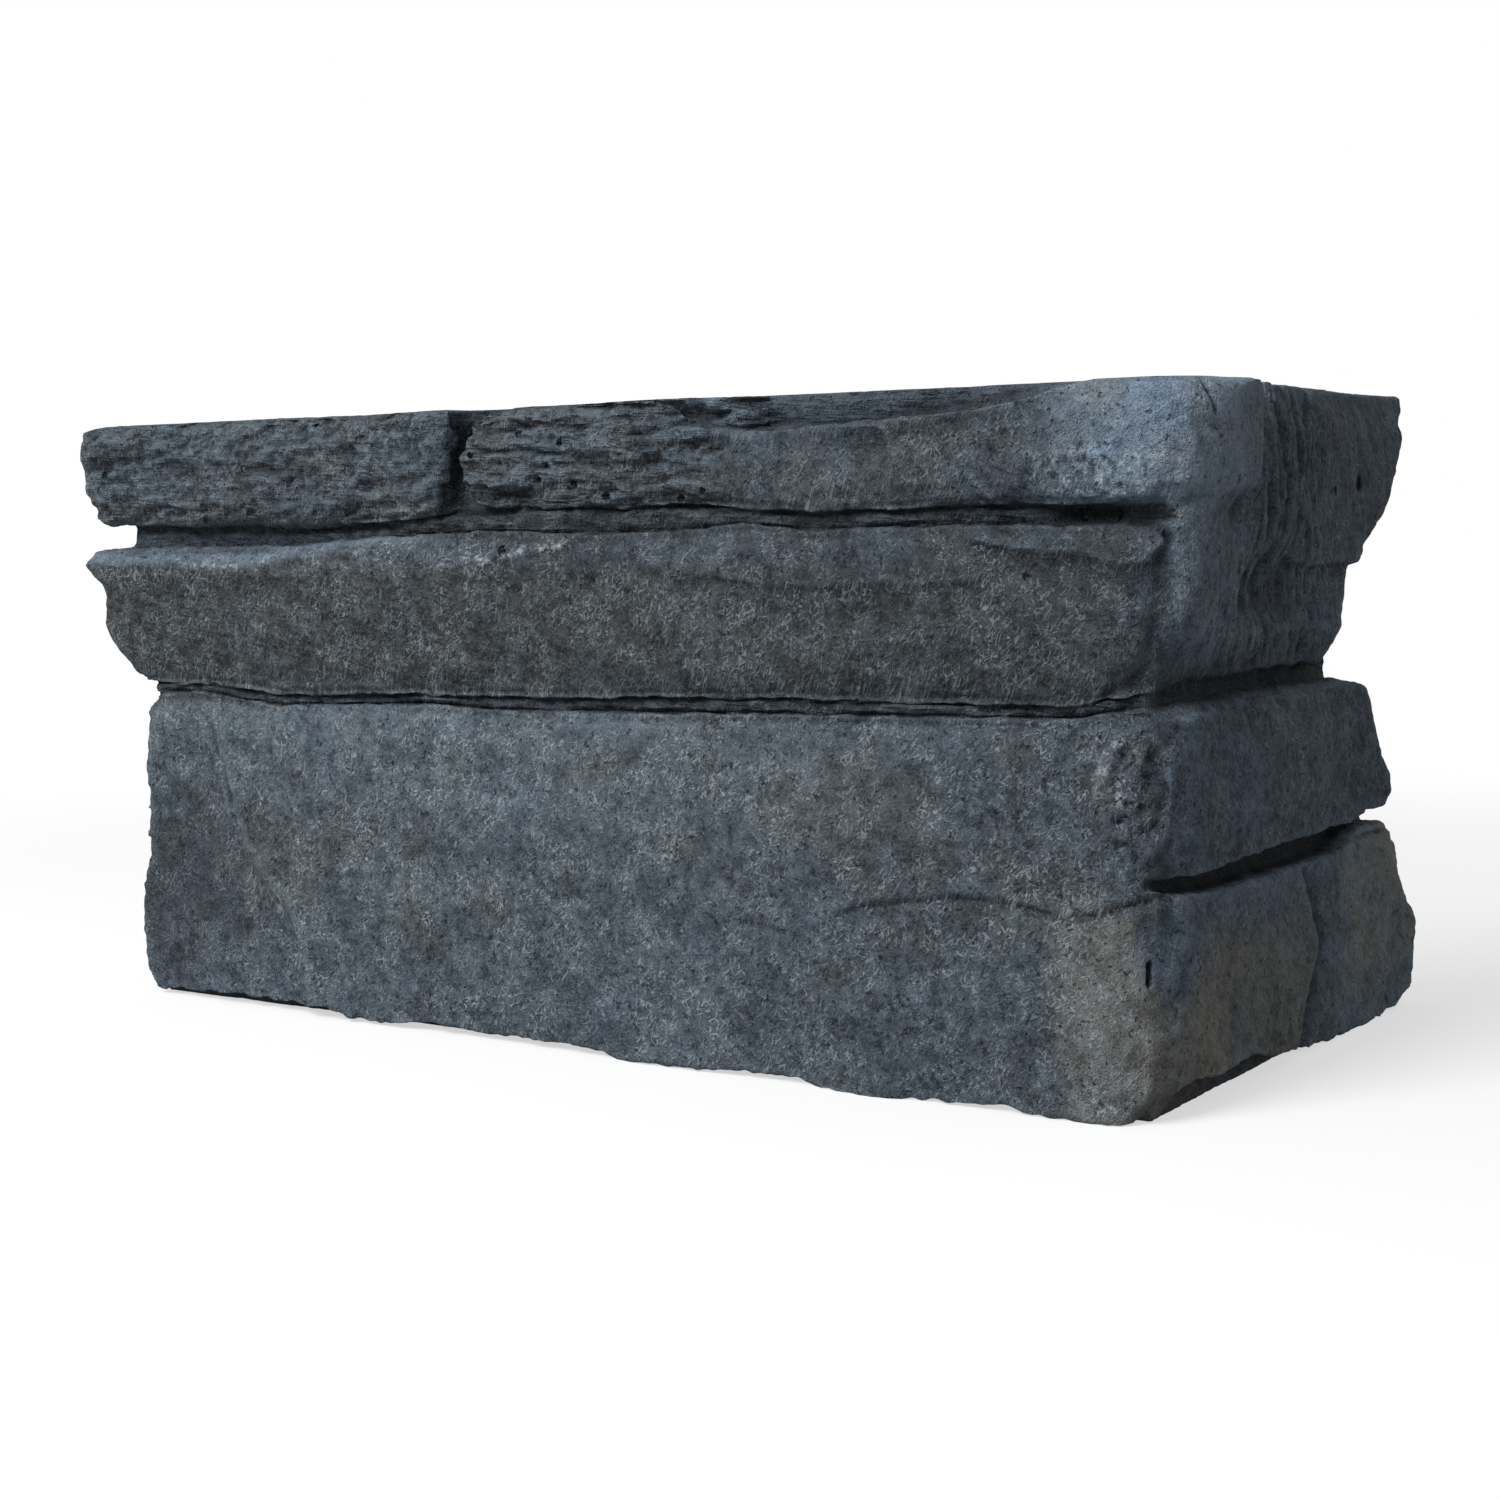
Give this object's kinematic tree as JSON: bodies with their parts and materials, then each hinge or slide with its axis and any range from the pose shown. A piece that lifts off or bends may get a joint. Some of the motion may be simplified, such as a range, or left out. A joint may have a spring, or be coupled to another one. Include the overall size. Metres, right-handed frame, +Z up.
{
  "type": "stone veneer corner",
  "caption": "L-shaped cast concrete outside-corner panel for a wall cladding of stacked ledge stone, with a rock face and flat backs.",
  "frame": {"origin": "middle of the footprint's box, on the bed that the casting stands on", "axes": "+X along the long leg towards the outer corner, +Y from the long rock face towards the wall, +Z up the courses"},
  "size_m": [0.323, 0.1546, 0.152],
  "materials": {
    "cast_stone": "matte rock face, charcoal blue-grey, pigmented cast concrete"
  },
  "bodies": {
    "root": {"veneer_corner": "cast_stone"}
  },
  "joints": []
}
